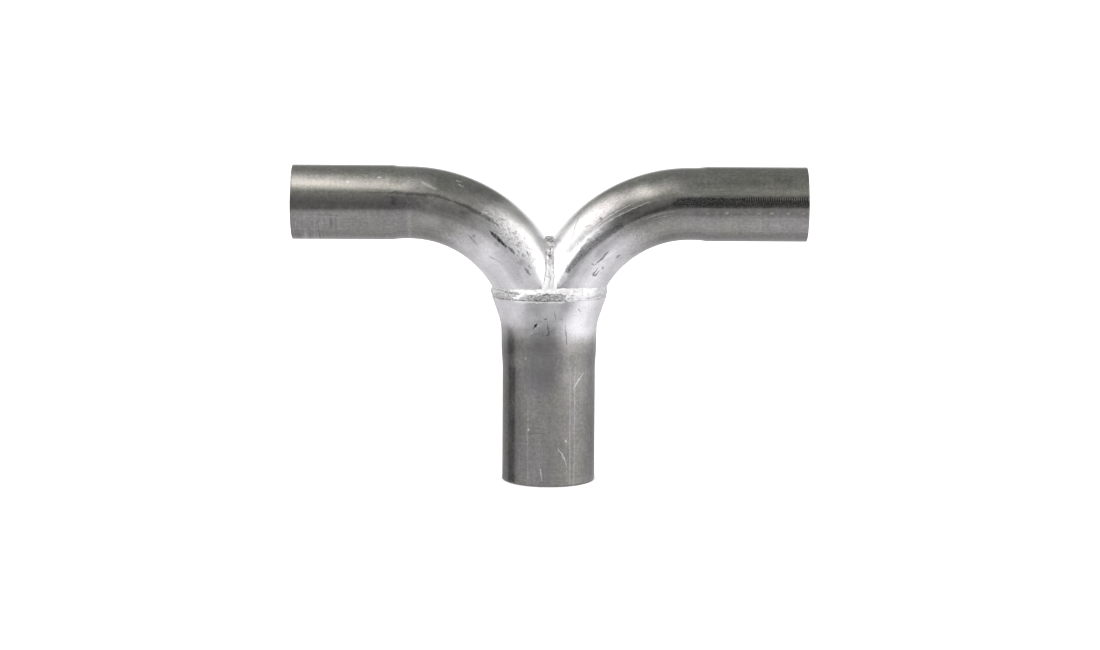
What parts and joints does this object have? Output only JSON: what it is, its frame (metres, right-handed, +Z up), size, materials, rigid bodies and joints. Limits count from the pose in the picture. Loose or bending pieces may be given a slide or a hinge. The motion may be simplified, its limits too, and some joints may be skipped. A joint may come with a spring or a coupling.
{
  "type": "pipe tee",
  "caption": "Steel pipe tee: bent branch tubes point opposite ways and merge over a wider stem tube, whose oval spread top is welded round them.",
  "frame": {"origin": "centre of the stem's open end, on the surface that the tee stands on", "axes": "+Z up along the stem's axis, +X along the right-hand branch's axis, +Y away from the viewer of the picture"},
  "size_m": [0.3492, 0.065, 0.2159],
  "materials": {
    "branch_tube": "dull worn grey steel with bright streaks along the tube and silver paint near the joint",
    "stem_tube": "dull worn grey steel, with silver paint and scratches on the spread top",
    "weld_metal": "rippled weld metal under silver paint"
  },
  "bodies": {
    "root": {"left_branch": "branch_tube", "right_branch": "branch_tube", "stem": "stem_tube", "crotch_weld": "weld_metal", "collar_weld": "weld_metal"}
  },
  "joints": []
}
